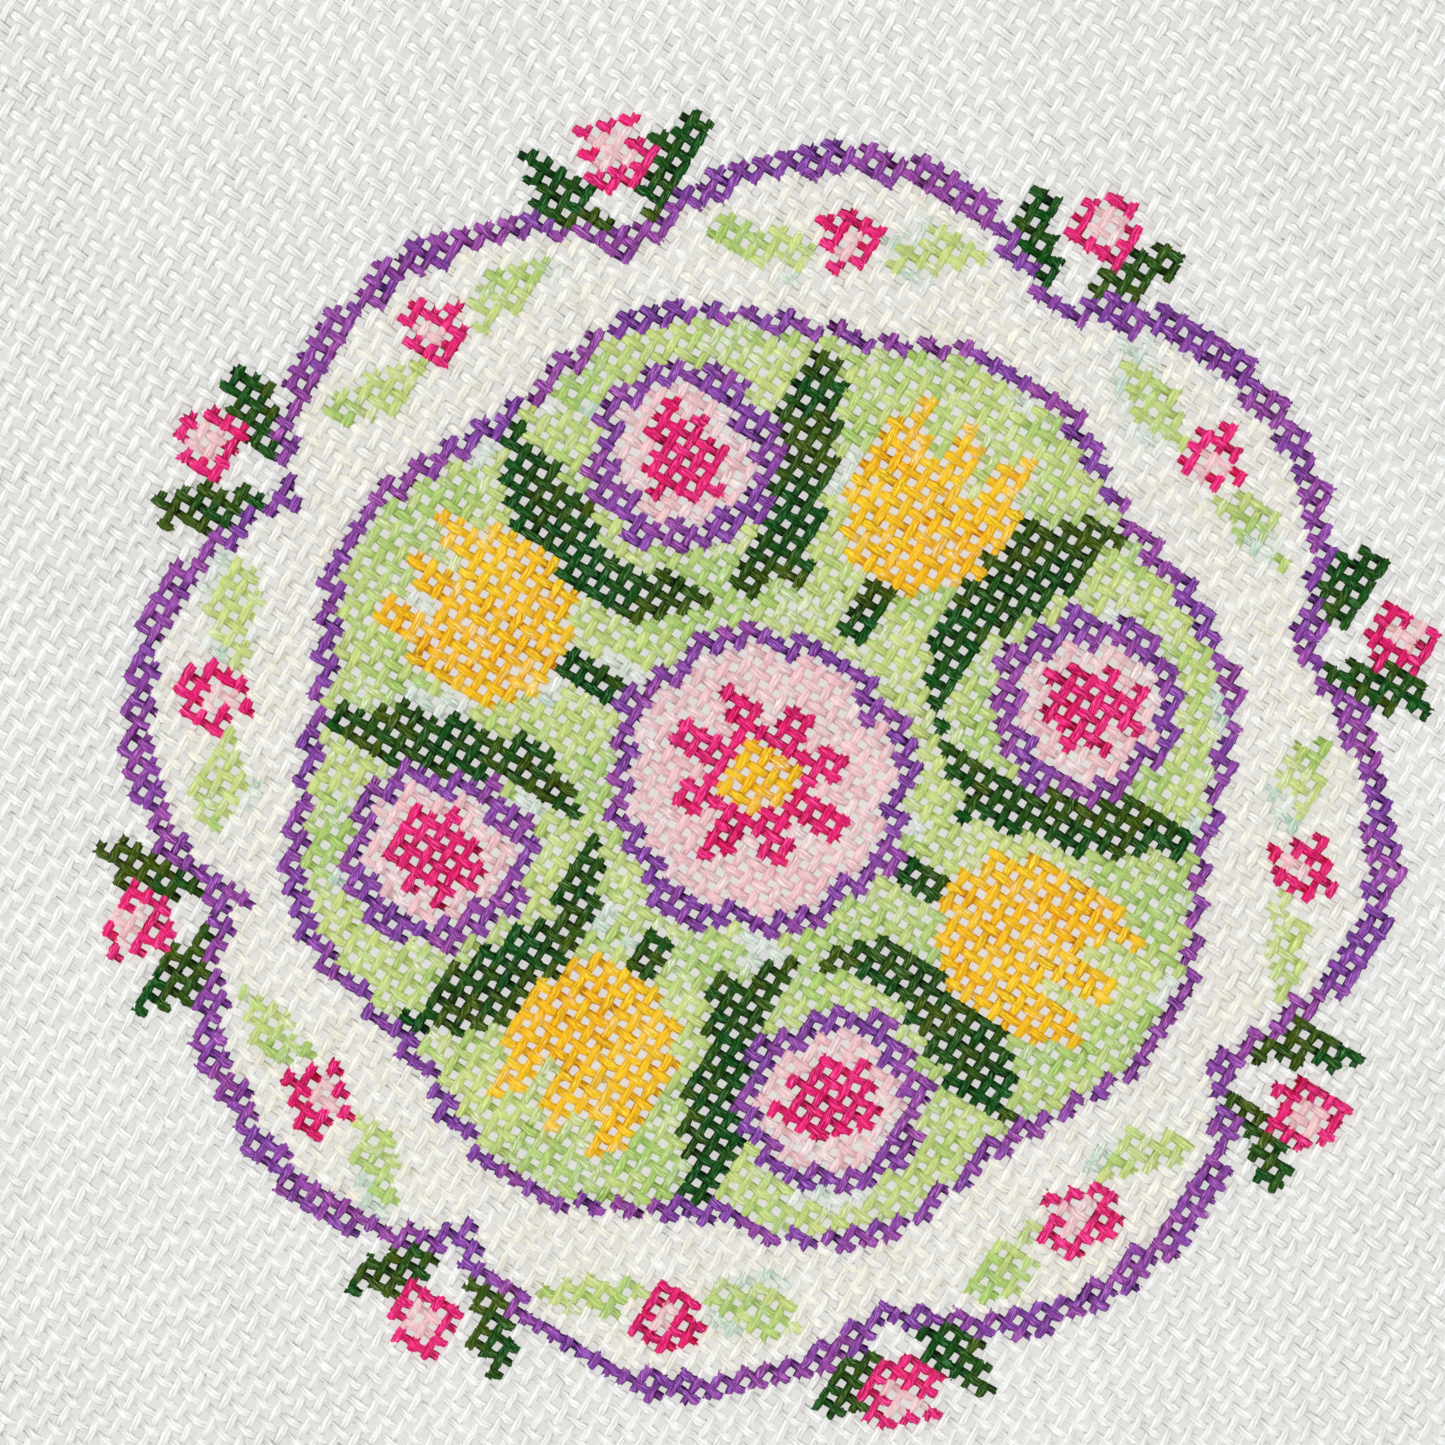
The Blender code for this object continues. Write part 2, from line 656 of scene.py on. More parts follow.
    def _cut_ends(
        self,
        bench: NodeBench,
        given: dict[str, Signal],
        numbers: dict[str, Signal],
        across: Signal,
        side: Signal,
    ) -> Signal:
        """Where a thread's first and last points lie along it: on the cut edge, a little long or short."""
        share = across / side
        bow = bench.math("SINE", share * FULL_TURN) * given["End bow"]
        waves = bench.math("SINE", share * given["Cut waves"] * FULL_TURN)
        window = bench.math("COSINE", share * math.pi)
        edge = bow + waves * window * given["Cut wander"]
        ragged = bench.random(*self.cut, given["Seed"], numbers["thread"] + numbers["last"] * 500.0)
        reach = side * 0.5 + ragged
        outwards = numbers["last"] - numbers["first"]
        at_end = numbers["first"] + numbers["last"]
        return outwards * reach + at_end * edge

    @staticmethod
    def _section(bench: NodeBench, given: dict[str, Signal]) -> Signal:
        """The flattened cross-section of a thread, with each point's number round it.

        It has one point on top. A circle of that many sides is less wide and less high than its radius says,
        and its middle isn't half way up, so its size and place are put right here.
        """
        step = FULL_TURN / THREAD_SIDES
        radius_up = given["Height"] / (1 + math.cos(step / 2))
        radius_across = given["Width"] / (2 * math.sin(step))
        circle = bench.place("GeometryNodeCurvePrimitiveCircle", {"Resolution": THREAD_SIDES, "Radius": 1.0})
        lower = (1 - math.cos(step / 2)) / 2
        shaped = bench.place("GeometryNodeTransform", {
            "Geometry": circle,
            "Translation": bench.vector(0.0, radius_up * lower, 0.0),
            "Rotation": (0.0, 0.0, -math.pi / 2),
            "Scale": bench.vector(radius_up, radius_across, 1.0),
        })
        return bench.marked(shaped, {"side": bench.place("GeometryNodeInputIndex")})

    def _fullness(self, bench: NodeBench, given: dict[str, Signal], numbers: dict[str, Signal]) -> Signal:
        """How full the section is: a touch more where the thread lies on top, and uneven along it."""
        chance = self._chance(bench, given, numbers["along"], numbers["thread"], self.FULLNESS_STEPS, 2.0)
        ends = (numbers["first"] + numbers["last"]) * -0.12
        swell = numbers["over"] * 0.03 + numbers["middle"] * 0.14
        return swell + 0.97 + chance * self.fullness + ends

    def _roughened(self, bench: NodeBench, threads: Signal) -> Signal:
        """Shifts each point a little, so that no thread is a clean tube."""
        place = bench.place("GeometryNodeInputPosition")
        inputs = {"Vector": place, "Scale": self.roughness_scale, "Detail": 0.0}
        chance = bench.place("ShaderNodeTexNoise", inputs, "Color")
        centred = bench.place("ShaderNodeVectorMath", {0: chance, 1: (0.5, 0.5, 0.5)}, operation="SUBTRACT")
        inputs = {0: centred, "Scale": self.roughness * 2}
        shift = bench.place("ShaderNodeVectorMath", inputs, operation="SCALE")
        return bench.place("GeometryNodeSetPosition", {"Geometry": threads, "Offset": shift})

    def _loose_fibres(self, bench: NodeBench, given: dict[str, Signal], threads: Signal) -> Signal:
        """Fine curved fibres that stand off the threads here and there."""
        seed = given["Seed"]
        inputs = {"Mesh": threads, "Density": self.fibres, "Seed": seed}
        points = bench.place("GeometryNodeDistributePointsOnFaces", inputs, distribute_method="RANDOM")
        share = bench.place("GeometryNodeSplineParameter")
        inputs = {
            "Geometry": self._strand(bench, 0.0, 1.0),
            "Offset": bench.vector(share * share * self.fibre_bend, 0.0, 0.0),
        }
        steep, flat = self.fibre_lean
        copies = bench.place("GeometryNodeInstanceOnPoints", {
            "Points": points,
            "Instance": bench.place("GeometryNodeSetPosition", inputs),
            "Rotation": bench.random((steep, 0.0, 0.0), (flat, 0.0, FULL_TURN), seed),
            "Scale": bench.random(*self.fibre_length, seed),
        })
        return self._thin_tubes(bench, copies, 0, self.fibre_radius, FIBRE_SIDES)

    def _frayed_ends(self, bench: NodeBench, given: dict[str, Signal], threads: Signal) -> Signal:
        """Three plies that splay out of the cut end of every thread."""
        seed = given["Seed"]
        normal = bench.place("GeometryNodeInputNormal")
        facing = bench.stored(threads, "facing", normal, "FLOAT_VECTOR", "FACE")
        corners = bench.place("GeometryNodeInputMeshFaceNeighbors")
        is_end = bench.math("GREATER_THAN", corners, THREAD_SIDES - 0.5)
        ends = bench.place("GeometryNodeMeshToPoints", {"Mesh": facing, "Selection": is_end}, mode="FACES")
        inputs = {"Name": "facing"}
        outwards = bench.place("GeometryNodeInputNamedAttribute", inputs, data_type="FLOAT_VECTOR")
        aligned = bench.place("FunctionNodeAlignRotationToVector", {"Vector": outwards}, axis="Z")
        lean = self.tuft_lean
        turn = bench.random((-lean, -lean, 0.0), (lean, lean, FULL_TURN), seed)
        inputs = {"Rotation": aligned, "Rotate By": turn}
        spin = bench.place("FunctionNodeRotateRotation", inputs, rotation_space="LOCAL")
        around = bench.place("GeometryNodeMeshCircle", {"Vertices": 3, "Radius": self.ply_place})
        inputs = {"Points": around, "Instance": self._strand(bench, *self.ply_reach)}
        tuft = bench.place("GeometryNodeInstanceOnPoints", inputs)
        whole_tuft = bench.place("GeometryNodeRealizeInstances", {"Geometry": tuft})
        share = bench.place("GeometryNodeSplineParameter")
        x, y, _ = bench.parts(bench.place("GeometryNodeInputPosition"))
        splay = share * share * self.splay
        offset = bench.vector(x * splay, y * splay, 0.0)
        splayed = bench.place("GeometryNodeSetPosition", {"Geometry": whole_tuft, "Offset": offset})
        copies = bench.place("GeometryNodeInstanceOnPoints", {
            "Points": ends,
            "Instance": splayed,
            "Rotation": spin,
            "Scale": bench.random(*self.tuft_size, seed),
        })
        return self._thin_tubes(bench, copies, FIRST_PLY, self.ply_radius, PLY_SIDES)

    @staticmethod
    def _strand(bench: NodeBench, low: float, high: float) -> Signal:
        """A straight upright line of three points."""
        ends = {"Start": (0.0, 0.0, low), "End": (0.0, 0.0, high)}
        line = bench.place("GeometryNodeCurvePrimitiveLine", ends)
        return bench.place("GeometryNodeResampleCurve", {"Curve": line, "Count": 3})

    @staticmethod
    def _thin_tubes(
        bench: NodeBench, strands: Signal, first_number: int, radius: float, sides: int
    ) -> Signal:
        """Numbers loose strands of three points, keeps them off the table and gives them thickness.

        Args:
            bench: The tree's bench.
            strands: The instances of the strands.
            first_number: Added to each strand's number, which starts at 1.
            radius: The radius at the root.
            sides: The sides of the section.

        Returns:
            The mesh.
        """
        realized = bench.place("GeometryNodeRealizeInstances", {"Geometry": strands})
        x, y, z = bench.parts(bench.place("GeometryNodeInputPosition"))
        raised = bench.vector(x, y, bench.math("MAXIMUM", z, radius))
        kept = bench.place("GeometryNodeSetPosition", {"Geometry": realized, "Position": raised})
        number = bench.math("FLOOR", (bench.place("GeometryNodeInputIndex") + 0.5) / 3.0)
        share = bench.place("GeometryNodeSplineParameter")
        circle = bench.place("GeometryNodeCurvePrimitiveCircle", {"Resolution": sides, "Radius": radius})
        return bench.place("GeometryNodeCurveToMesh", {
            "Curve": bench.marked(kept, {"fibre": number + (1.0 + first_number), "tip": share}),
            "Profile Curve": bench.marked(circle, {"side": bench.place("GeometryNodeInputIndex")}),
            "Scale": 1.0 - share * 0.45,
            "Fill Caps": True,
        })


class Paint(Enum):
    """The paints of the design, and the bare canvas."""

    BARE = "bare"
    CREAM = "cream"
    MINT = "mint"
    SPRING_GREEN = "spring green"
    LEAF_GREEN = "leaf green"
    GOLD = "gold"
    CRIMSON = "crimson"
    BLUSH = "blush"
    VIOLET = "violet"


@dataclass(frozen=True)
class PaintFinish:
    """How one paint looks on the thread.

    Args:
        colour: Its main colour, linear.
        mottle: The colour that it drifts to in places, linear.
        drift: How much of it drifts, from 0 to 1.
        cover: How well it hides the white thread, from 0 to 1.
    """

    colour: Colour
    mottle: Colour
    drift: float
    cover: float


PAINTS: dict[Paint, PaintFinish] = {
    Paint.BARE: PaintFinish(screen_colour(246, 246, 243), screen_colour(246, 246, 243), 0.0, 0.0),
    Paint.CREAM: PaintFinish(screen_colour(250, 245, 230), screen_colour(248, 241, 220), 0.5, 0.80),
    Paint.MINT: PaintFinish(screen_colour(188, 216, 194), screen_colour(206, 226, 206), 0.6, 0.80),
    Paint.SPRING_GREEN: PaintFinish(screen_colour(210, 225, 142), screen_colour(164, 204, 108), 0.7, 0.89),
    Paint.LEAF_GREEN: PaintFinish(screen_colour(10, 82, 18), screen_colour(76, 94, 4), 0.8, 0.99),
    Paint.GOLD: PaintFinish(screen_colour(255, 208, 46), screen_colour(255, 186, 14), 0.6, 0.92),
    Paint.CRIMSON: PaintFinish(screen_colour(246, 46, 130), screen_colour(228, 14, 104), 0.6, 0.98),
    Paint.BLUSH: PaintFinish(screen_colour(246, 200, 205), screen_colour(248, 212, 212), 0.5, 0.86),
    Paint.VIOLET: PaintFinish(screen_colour(140, 74, 172), screen_colour(174, 82, 168), 0.6, 0.985),
}
KINDS = list(Paint)


@dataclass(frozen=True)
class Motif:
    """One motif of the design and where it is repeated round the middle.

    Args:
        shape: The name of the method of PaintedDesign that draws it.
        paint: The paint that fills it.
        out: How far its middle is from the design's middle, in threads.
        size: Its size, in threads.
        times: How many times it is repeated round the middle.
        start: The angle of the first one, in degrees anticlockwise from +X.
        lean: How far it leans from pointing outwards, in degrees.
        slip: How far it is shifted sideways, in threads.
    """

    shape: str
    paint: Paint
    out: float
    size: float
    times: int = 1
    start: float = 0.0
    lean: float = 0.0
    slip: float = 0.0

    def pair(self) -> list[Motif]:
        """The motif and its mirror image, which leans and is shifted the other way."""
        return [replace(self, lean=self.lean * hand, slip=self.slip * hand) for hand in (-1, 1)]


@dataclass(frozen=True)
class PaintedDesign:
    """A round floral medallion, worked out for each crossing of the weave.

    Later motifs are painted over earlier ones.

    Args:
        lobes: The number of lobes of the rim.
        cusp_radius: From the middle to a notch between two lobes, in threads, as the other lengths are.
        lobe_depth: How far a lobe reaches beyond the notches.
        outline: The width of the rim's line.
        inner_radius: The radius of the green field.
        inner_swing: How far its line swings in and out.
        inner_line: The width of its line.
        hand_wobble: How unsteady the hand is.
        wobble_waves: The shortest and longest of the slow waves of that unsteadiness.
        bleed: How rarely thinned green creeps onto a pale neighbour.
        fading: How rarely the green field is thin at its edge.
        tone: How much the tone varies from crossing to crossing.
        seed: The seed of its unevenness.
    """

    lobes: int = 8
    cusp_radius: float = 33.6
    lobe_depth: float = 4.9
    outline: float = 1.8
    inner_radius: float = 27.2
    inner_swing: float = 0.9
    inner_line: float = 1.15
    hand_wobble: float = 0.55
    wobble_waves: tuple[float, float] = (7.0, 19.0)
    bleed: float = 0.85
    fading: float = 1.0
    tone: float = 0.035
    seed: int = 13

    @staticmethod
    def _motifs() -> list[Motif]:
        """Tulips on the axes, daisies between them, a rosette in the middle and sprigs round the rim."""
        return [
            *Motif("leaf", Paint.LEAF_GREEN, 17.6, 14.0, 4, 0.0, 24.0, 7.4).pair(),
            Motif("stalk", Paint.LEAF_GREEN, 13.0, 5.0, 4),
            Motif("tulip", Paint.GOLD, 19.4, 5.0, 4),
            *Motif("leaf", Paint.LEAF_GREEN, 12.6, 6.6, 4, 45.0, 62.0, 3.6).pair(),
            Motif("daisy", Paint.VIOLET, 20.0, 5.9, 4, 45.0),
            Motif("daisy", Paint.BLUSH, 20.0, 4.3, 4, 45.0),
            Motif("star", Paint.CRIMSON, 20.0, 3.3, 4, 45.0),
            Motif("daisy", Paint.VIOLET, 0.0, 9.6),
            Motif("daisy", Paint.BLUSH, 0.0, 8.2),
            Motif("star", Paint.CRIMSON, 0.0, 5.9),
            Motif("spot", Paint.GOLD, 0.0, 2.3),
            *Motif("leaf", Paint.SPRING_GREEN, 32.4, 6.4, 8, 22.5, 80.0, 5.0).pair(),
            Motif("spot", Paint.CRIMSON, 33.2, 2.1, 8, 22.5),
            Motif("spot", Paint.BLUSH, 33.0, 1.0, 8, 22.5),
            *Motif("leaf", Paint.LEAF_GREEN, 37.2, 6.4, 8, 0.0, 40.0, 3.2).pair(),
            Motif("spot", Paint.CRIMSON, 38.8, 2.2, 8),
            Motif("spot", Paint.BLUSH, 39.0, 1.1, 8),
        ]

    def cells(self, count: int) -> np.ndarray:
        """Paints the crossings.

        Args:
            count: The number of threads each way.

        Returns:
            An array of count by count by 4, by upright thread and then level thread: the paint's linear red,
            green and blue, and how well it covers.
        """
        place = np.arange(count) + 0.5 - count / 2
        x, y = np.meshgrid(place, place, indexing="ij")
        x, y = x + self._wobble(x, y, 0), y + self._wobble(x, y, 1)
        chosen = np.full(x.shape, KINDS.index(Paint.BARE))
        self._ground(chosen, x, y)
        for motif in self._motifs():
            chosen[self._drawn(motif, x, y)] = KINDS.index(motif.paint)
        return self._coloured(self._bled(chosen))

    @staticmethod
    def _wave(
        x: np.ndarray, y: np.ndarray, chance: np.random.Generator, lengths: tuple[float, float]
    ) -> np.ndarray:
        """One wave across the cloth, whose direction, phase and length are drawn in that order."""
        turn, phase = chance.uniform(0, FULL_TURN, 2)
        length = chance.uniform(*lengths)
        return np.sin((x * math.cos(turn) + y * math.sin(turn)) * FULL_TURN / length + phase)

    def _wobble(self, x: np.ndarray, y: np.ndarray, which: int) -> np.ndarray:
        """The unsteadiness of the hand: a few slow waves across the cloth, in threads."""
        chance = np.random.default_rng(self.seed + which)
        count = 6
        waves = sum(self._wave(x, y, chance, self.wobble_waves) for _ in range(count))
        return waves * self.hand_wobble / count

    def _ground(self, chosen: np.ndarray, x: np.ndarray, y: np.ndarray) -> None:
        """Fills the medallion: its outline, its cream border and its green field."""
        radius, angle = np.hypot(x, y), np.arctan2(y, x)
        rim = self.cusp_radius + self.lobe_depth * np.abs(np.sin(angle * self.lobes / 2)) ** 0.7
        inner = self.inner_radius + self.inner_swing * np.cos(angle * self.lobes)
        for reach, paint in (
            (rim, Paint.VIOLET),
            (rim - self.outline, Paint.CREAM),
            (inner + self.inner_line, Paint.VIOLET),
            (inner, Paint.SPRING_GREEN),
        ):
            chosen[radius < reach] = KINDS.index(paint)

    def _drawn(self, motif: Motif, x: np.ndarray, y: np.ndarray) -> np.ndarray:
        """Which crossings a motif covers, at all of its places."""
        covered = np.zeros(x.shape, bool)
        draw = getattr(self, f"_{motif.shape}")
        lean = math.radians(motif.lean)
        for turn in range(motif.times):
            angle = math.radians(motif.start + 360 / motif.times * turn)
            outward = x * math.cos(angle) + y * math.sin(angle) - motif.out
            sideways = -x * math.sin(angle) + y * math.cos(angle) - motif.slip
            across = sideways * math.cos(lean) - outward * math.sin(lean)
            up = sideways * math.sin(lean) + outward * math.cos(lean)
            covered |= draw(across, up, motif.size)
        return covered

    @staticmethod
    def _spot(across: np.ndarray, up: np.ndarray, size: float) -> np.ndarray:
        """A round spot of that radius."""
        return np.hypot(across, up) < size

    @staticmethod
    def _daisy(across: np.ndarray, up: np.ndarray, size: float) -> np.ndarray:
        """Eight round petals of that reach."""
        petals = size * (0.84 + 0.16 * np.abs(np.cos(4 * np.arctan2(up, across))) ** 0.6)
        return np.hypot(across, up) < petals

    @staticmethod
    def _star(across: np.ndarray, up: np.ndarray, size: float) -> np.ndarray:
        """Eight narrow points of that reach."""
        points = size * (0.55 + 0.45 * np.abs(np.cos(4 * np.arctan2(up, across))) ** 1.6)
        return np.hypot(across, up) < points

    @staticmethod
    def _leaf(across: np.ndarray, up: np.ndarray, size: float) -> np.ndarray:
        """A pointed leaf of that length, curved to one side."""
        share = np.clip(up / size + 0.5, 0, 1)
        bend = 0.08 * size * (1 - (2 * share - 1) ** 2)
        breadth = 0.5 + 0.135 * size * np.sin(math.pi * share ** 1.15) ** 1.2
        return (np.abs(up) < size / 2) & (np.abs(across - bend) < breadth)

    @staticmethod
    def _stalk(across: np.ndarray, up: np.ndarray, size: float) -> np.ndarray:
        """A straight stalk of that length."""
        return (np.abs(up) < size / 2) & (np.abs(across) < 0.8)

    @staticmethod
    def _tulip(across: np.ndarray, up: np.ndarray, size: float) -> np.ndarray:
        """A cup with three points, that size to either side of its middle."""
        cup = np.hypot(across, np.minimum(up + 0.15 * size, 0)) < size
        crown = size * (0.3 + 0.85 * np.abs(np.cos(across / size * 1.5 * math.pi)))
        return cup & (up < crown) & (np.abs(across) < 0.98 * size)

    def _bled(self, chosen: np.ndarray) -> np.ndarray:
        """Lets thinned green creep onto pale neighbours in some places, and fade at its edge in others."""
        green = chosen == KINDS.index(Paint.SPRING_GREEN)
        pale = np.isin(chosen, [KINDS.index(Paint.BARE), KINDS.index(Paint.CREAM)])
        chance = np.random.default_rng(self.seed + 5)
        result = chosen.copy()
        creeping = self._cloud(chosen.shape, chance, 9.0) > self.bleed
        result[self._beside(green) & pale & creeping] = KINDS.index(Paint.MINT)
        faded = self._cloud(chosen.shape, chance, 7.0) > self.fading
        result[green & self._beside(~green) & faded] = KINDS.index(Paint.MINT)
        return result

    @staticmethod
    def _beside(marked: np.ndarray) -> np.ndarray:
        """The crossings that have a marked one next to them."""
        near = np.zeros_like(marked)
        for shift in ((0, 1), (0, -1), (1, 0), (-1, 0)):
            near |= np.roll(marked, shift, axis=(0, 1))
        return near

    def _cloud(self, shape: tuple[int, ...], chance: np.random.Generator, length: float) -> np.ndarray:
        """A smooth field of about -1 to 1, whose waves are about that many threads long."""
        x, y = np.meshgrid(np.arange(shape[0]), np.arange(shape[1]), indexing="ij")
        return sum(self._wave(x, y, chance, (length * 0.6, length * 1.6)) for _ in range(8)) / 3.2

    def _coloured(self, chosen: np.ndarray) -> np.ndarray:
        """Looks up each crossing's paint and lets it drift a little from place to place."""
        chance = np.random.default_rng(self.seed + 9)
        drift_field = np.clip(0.5 + 0.5 * self._cloud(chosen.shape, chance, 11.0), 0, 1)
        spread = np.clip(drift_field + chance.uniform(-0.45, 0.45, chosen.shape), 0, 1) ** 1.5
        tone = chance.normal(1.0, self.tone, chosen.shape)
        cells = np.zeros((*chosen.shape, 4), np.float32)
        for number, kind in enumerate(KINDS):
            finish = PAINTS[kind]
            here = chosen == number
            share = (spread * finish.drift)[here][:, None]
            colour = np.array(finish.colour) * (1 - share) + np.array(finish.mottle) * share
            cells[here, :3] = np.clip(colour * tone[here][:, None], 0, 1)
            cover = finish.cover + chance.uniform(-0.06, 0.03, int(here.sum()))
            cells[here, 3] = np.clip(cover, 0, 1) if finish.cover > 0 else 0
        return cells


@dataclass(frozen=True)
class ThreadBand:
    """One band of side-by-side threads: a sheet of cloth's threads in one way, as one piece.

    Args:
        name: The piece's name.
        kind: The sizes of its threads.
        weave: The cloth that it is a part of.
        first: The number of its first thread.
        threads: How many threads it has.
        coat: How much thick paint adds to the surface of a thread.
        rows_per_thread: How many rows of the map a thread takes.
        threads_share: The share of the map's height for the threads. The loose fibres have the rest.
        fibre_columns: How many loose fibres lie side by side on the map.
    """

    name: str
    kind: ThreadKind
    weave: Weave
    first: int
    threads: int
    coat: float = 0.045 * MILLIMETRE
    rows_per_thread: int = 2
    threads_share: float = 0.93
    fibre_columns: int = 64

    def build(
        self, tree: bpy.types.NodeTree, material: bpy.types.Material, cells: np.ndarray
    ) -> bpy.types.Object:
        """Grows the threads and carries the design to them.

        Args:
            tree: The tree from ThreadTree.
            material: The thread's finish.
            cells: The design's paint for each crossing, by upright and then level thread.

        Returns:
            The piece, a plain mesh at the origin.
        """
        mesh = grown_mesh(self.name, tree, {
            "Threads": self.threads,
            "First thread": self.first,
            "Crossings": self.weave.count,
            "Seed": self.kind.seed,
            "Pitch": self.weave.pitch,
            "Width": self.kind.width,
            "Height": self.kind.height,
            "Wave": self.kind.wave,
            "Crest": self.kind.crest,
            "Dip": self.kind.dip,
            "Middle": self.weave.middle,
            "Bow": self.kind.bow * self.kind.hand,
            "End bow": self.kind.cross_bow * self.kind.hand,
            "Cut wander": self.weave.cut_wander * self.kind.hand,
            "Cut waves": float(self.weave.cut_waves),
            "Turn": self.kind.turn_about,
            "Material": material,
        })
        self._coat(mesh, cells)
        self._paint(mesh, cells)
        piece = bpy.data.objects.new(self.name, mesh)
        bpy.context.scene.collection.objects.link(piece)
        return piece

    def _coat(self, mesh: bpy.types.Mesh, cells: np.ndarray) -> None:
        """Makes the threads a little fuller where the paint coats them."""
        thread = whole_numbers_of(mesh, "thread")
        place = np.clip(numbers_of(mesh, "along") - 0.5, 0.0, self.weave.count - 1.001)
        before = np.floor(place).astype(np.int64)
        share = (place - before)[:, None]
        paint = self._cell_paint(cells, thread, before) * (1 - share)
        paint = paint + self._cell_paint(cells, thread, before + 1) * share
        woven = whole_numbers_of(mesh, "fibre") == 0
        outward = np.zeros(len(mesh.vertices) * 3, np.float32)
        mesh.vertex_normals.foreach_get("vector", outward)
        shift = outward.reshape(-1, 3) * (paint[:, 3] * woven * self.coat)[:, None]
        mesh.vertices.foreach_set("co", (places_of(mesh) + shift).astype(np.float32).ravel())
        mesh.update()

    def _paint(self, mesh: bpy.types.Mesh, cells: np.ndarray) -> None:
        """Writes the attributes that the finish reads, and the map that its detail is laid out on."""
        thread = whole_numbers_of(mesh, "thread")
        along = np.clip(numbers_of(mesh, "along"), 0.0, self.weave.count - 0.001)
        corners = np.zeros(len(mesh.loops), np.int32)
        mesh.loops.foreach_get("vertex_index", corners)
        sizes = np.zeros(len(mesh.polygons), np.int32)
        mesh.polygons.foreach_get("loop_total", sizes)
        starts = np.concatenate([[0], np.cumsum(sizes)[:-1]])
        for name, end in (("paint_here", np.minimum), ("paint_after", np.maximum)):
            number = np.floor(end.reduceat(along[corners], starts)).astype(np.int64)
            colours = self._cell_paint(cells, thread[corners[starts]], number)
            layer = mesh.attributes.new(name, "FLOAT_COLOR", "FACE")
            layer.data.foreach_set("color", colours.astype(np.float32).ravel())
        upward = mesh.attributes.new("upward", "FLOAT", "POINT")
        upward.data.foreach_set("value", self._upward(mesh, thread).astype(np.float32))
        self._lay_out(mesh, along, thread, corners, starts, sizes)
        for name in ("ring", "side", "fibre", "tip"):
            mesh.attributes.remove(mesh.attributes[name])

    def _upward(self, mesh: bpy.types.Mesh, thread: np.ndarray) -> np.ndarray:
        """How far up its own thread each point sits, from -1 underneath to 1 on top, as loose fibres are."""
        heights = places_of(mesh)[:, 2].astype(np.float64)
        woven = whole_numbers_of(mesh, "fibre") == 0
        section = ((thread - self.first) * self.weave.rings + whole_numbers_of(mesh, "ring"))[woven]
        lowest, highest = np.full(section.max() + 1, np.inf), np.full(section.max() + 1, -np.inf)
        np.minimum.at(lowest, section, heights[woven])
        np.maximum.at(highest, section, heights[woven])
        middle, reach = (lowest + highest) / 2, (highest - lowest) / 2
        upward = np.ones(len(heights))
        upward[woven] = (heights[woven] - middle[section]) / np.maximum(reach[section], 1e-6)
        return upward

    def _cell_paint(self, cells: np.ndarray, thread: np.ndarray, crossing: np.ndarray) -> np.ndarray:
        """The paint at a crossing of a thread. A turned band counts its crossings from the other end."""
        if self.kind.way is ThreadWay.UPRIGHT:
            return cells[thread, crossing]
        return cells[self.weave.count - 1 - crossing, thread]

    def _lay_out(
        self,
        mesh: bpy.types.Mesh,
        along: np.ndarray,
        thread: np.ndarray,
        corners: np.ndarray,
        starts: np.ndarray,
        sizes: np.ndarray,
    ) -> None:
        """Gives each corner its place round the thread, and lays the threads out in rows on the map.

        Args:
            mesh: The band.
            along: Each point's place along its thread, in crossings.
            thread: Each point's thread.
            corners: The point of each corner of a face.
            starts: The first corner of each face.
            sizes: The number of corners of each face.
        """
        face_of = np.repeat(np.arange(len(sizes)), sizes)
        side = numbers_of(mesh, "side")[corners]
        fibre = whole_numbers_of(mesh, "fibre")[corners]
        sides = np.where(fibre == 0, THREAD_SIDES, np.where(fibre > FIRST_PLY, PLY_SIDES, FIBRE_SIDES))
        top = np.maximum.reduceat(side, starts)[face_of]
        low = np.minimum.reduceat(side, starts)[face_of]
        capped = (sizes[face_of] != 4) | (top - low > sides - 0.5)
        wraps = (top > sides - 1.5) & (low < 0.5) & (side < 0.5) & ~capped
        around = (side + np.where(wraps, sides, 0)) / sides
        layer = mesh.attributes.new("around", "FLOAT", "CORNER")
        layer.data.foreach_set("value", around.astype(np.float32))
        rows = self.threads * self.rows_per_thread
        length = self.weave.count / self.rows_per_thread
        corner_along = along[corners]
        middle = (np.add.reduceat(corner_along, starts) / sizes)[face_of]
        row_part = np.clip(np.floor(middle / length), 0, self.rows_per_thread - 1)
        row = (thread[corners] - self.first) * self.rows_per_thread + row_part
        spread = 0.5 + (corner_along / length - row_part - 0.5) * 0.98
        upright = (row + 0.05 + around * np.where(capped, 0.25, 0.9)) / rows * self.threads_share
        loose = fibre > 0
        number = np.unique(fibre[loose], return_inverse=True)[1]
        tip = numbers_of(mesh, "tip")[corners][loose]
        spread[loose] = (number % self.fibre_columns + 0.1 + 0.8 * tip) / self.fibre_columns
        lines = number.max() // self.fibre_columns + 1
        line = number // self.fibre_columns + 0.1 + 0.8 * around[loose]
        upright[loose] = 1 - (1 - self.threads_share) * line / lines
        chart = mesh.uv_layers.new(name="OFBake")
        chart.uv.foreach_set("vector", np.stack([spread, upright], axis=1).astype(np.float32).ravel())


